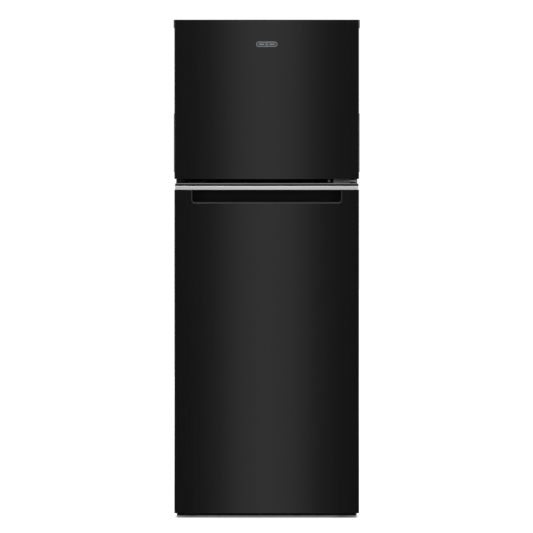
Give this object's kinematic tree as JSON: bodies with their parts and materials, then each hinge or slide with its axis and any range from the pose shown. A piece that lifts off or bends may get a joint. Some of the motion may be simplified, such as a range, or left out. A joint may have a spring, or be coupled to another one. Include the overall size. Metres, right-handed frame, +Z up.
{
  "type": "top freezer refrigerator",
  "caption": "Tall black refrigerator with a freezer door above a longer fridge door, side grips, a bright strip over a recessed handle, and right-hand hinges.",
  "frame": {"origin": "on the floor under the middle of the whole part's bounding box", "axes": "+X to the right seen from the front, +Y to the back, +Z up; the doors face -Y"},
  "size_m": [0.602, 0.7, 1.637],
  "materials": {
    "black_steel": "black film-coated steel with a fine upright brushed grain",
    "cabinet_steel": "black powder-coated steel with a light texture",
    "galvanised": "galvanised sheet, dull",
    "foam": "foamed-in-place polyurethane, cream",
    "white_liner": "thermoformed white liner, satin gloss",
    "black_plastic": "black moulded plastic, fine texture",
    "dark_rubber": "black rubber",
    "gasket_grey": "grey flexible door seal",
    "silver": "satin anodised silver strip",
    "zinc_steel": "zinc-plated pressed steel",
    "clear_plastic": "clear moulded bins and drawer",
    "shelf_glass": "tempered glass with a faint green edge",
    "white_plastic": "white moulded plastic",
    "compressor_black": "black-painted compressor shell",
    "copper": "bare refrigerant pipe and drier",
    "evaporator_metal": "bare evaporator",
    "badge_metal": "brushed bright badge"
  },
  "bodies": {
    "cabinet": {"cabinet_wrapper": "cabinet_steel", "rear_panel": "cabinet_steel", "floor_pan": "galvanised", "cabinet_foam": "foam", "freezer_liner": "white_liner", "fridge_liner": "white_liner", "mullion_rail": "cabinet_steel", "base_rail": "cabinet_steel", "middle_hinge": "zinc_steel", "bottom_hinge": "zinc_steel", "top_hinge": "zinc_steel", "hinge_cover": "black_plastic", "cabinet_screws": "zinc_steel", "hole_plugs": "black_plastic", "wall_spacers": "black_plastic", "compressor_tray": "galvanised", "roller_brackets": "galvanised", "compressor": "compressor_black", "compressor_mounts": "dark_rubber", "relay_cover": "black_plastic", "refrigerant_pipes": "copper", "suction_pipe": "copper", "air_duct": "white_plastic", "condensate_pan": "black_plastic", "cord_gland": "black_plastic", "shelf_frames": "white_plastic", "shelf_glass": "shelf_glass", "control_housing": "white_plastic", "evaporator_cover": "white_plastic", "evaporator": "evaporator_metal", "fan_motor": "black_plastic"},
    "freezer_door_body": {"freezer_top_cap": "black_plastic", "freezer_bottom_cap": "black_plastic", "freezer_skin": "black_steel", "freezer_foam": "foam", "freezer_door_liner": "white_liner", "freezer_gasket": "gasket_grey", "freezer_grips": "black_plastic", "freezer_bushes": "black_plastic", "freezer_door_bins": "clear_plastic", "badge": "badge_metal"},
    "fridge_door_body": {"handle_strip": "silver", "fridge_top_cap": "black_plastic", "fridge_bottom_cap": "black_plastic", "fridge_skin": "black_steel", "handle_pocket": "black_plastic", "fridge_foam": "foam", "fridge_door_liner": "white_liner", "fridge_gasket": "gasket_grey", "fridge_bushes": "black_plastic", "fridge_door_bins": "clear_plastic"},
    "foot_left_body": {"foot_left": "black_plastic"},
    "foot_right_body": {"foot_right": "black_plastic"},
    "roller_left_body": {"roller_left": "black_plastic"},
    "roller_right_body": {"roller_right": "black_plastic"},
    "fridge_knob_body": {"fridge_knob": "white_plastic"},
    "freezer_knob_body": {"freezer_knob": "white_plastic"},
    "fan_rotor_body": {"fan_rotor": "white_plastic"},
    "crisper_drawer_body": {"crisper_drawer": "clear_plastic"},
    "lamp_switch_body": {"lamp_switch": "white_plastic"}
  },
  "joints": [
    {"name": "freezer_door_hinge", "type": "hinge", "parent": "cabinet", "child": "freezer_door_body", "pos_m": [0.2825, -0.3205, 1.37], "axis": [0, 0, 1], "range_deg": [0, 140]},
    {"name": "fridge_door_hinge", "type": "hinge", "parent": "cabinet", "child": "fridge_door_body", "pos_m": [0.2825, -0.3205, 0.57], "axis": [0, 0, 1], "range_deg": [0, 140]},
    {"name": "crisper_slide", "type": "slide", "parent": "cabinet", "child": "crisper_drawer_body", "axis": [0, -1, 0], "range_m": [0, 0.18]},
    {"name": "lamp_switch_slide", "type": "slide", "parent": "cabinet", "child": "lamp_switch_body", "axis": [0, -1, 0], "range_m": [0, 0.006]},
    {"name": "fridge_knob_turn", "type": "hinge", "parent": "cabinet", "child": "fridge_knob_body", "pos_m": [-0.062, -0.22, 1.044], "axis": [0, -1, 0], "range_deg": [-135, 135]},
    {"name": "freezer_knob_turn", "type": "hinge", "parent": "cabinet", "child": "freezer_knob_body", "pos_m": [-0.012, -0.22, 1.044], "axis": [0, -1, 0], "range_deg": [-135, 135]},
    {"name": "fan_spin", "type": "hinge", "parent": "cabinet", "child": "fan_rotor_body", "pos_m": [0, 0.225, 1.45], "axis": [0, 1, 0], "continuous": true},
    {"name": "foot_left_screw", "type": "hinge", "parent": "cabinet", "child": "foot_left_body", "pos_m": [-0.2515, -0.235, 0.03], "axis": [0, 0, 1], "continuous": true},
    {"name": "foot_right_screw", "type": "hinge", "parent": "cabinet", "child": "foot_right_body", "pos_m": [0.2515, -0.235, 0.03], "axis": [0, 0, 1], "continuous": true},
    {"name": "roller_left_spin", "type": "hinge", "parent": "cabinet", "child": "roller_left_body", "pos_m": [-0.2365, 0.285, 0.015], "axis": [1, 0, 0], "continuous": true},
    {"name": "roller_right_spin", "type": "hinge", "parent": "cabinet", "child": "roller_right_body", "pos_m": [0.2365, 0.285, 0.015], "axis": [1, 0, 0], "continuous": true}
  ],
  "couplings": [
    {"joint": "crisper_slide", "follows": "fridge_door_hinge", "m_per_rad": 0.0736},
    {"joint": "lamp_switch_slide", "follows": "fridge_door_hinge", "m_per_rad": 0.00245}
  ]
}
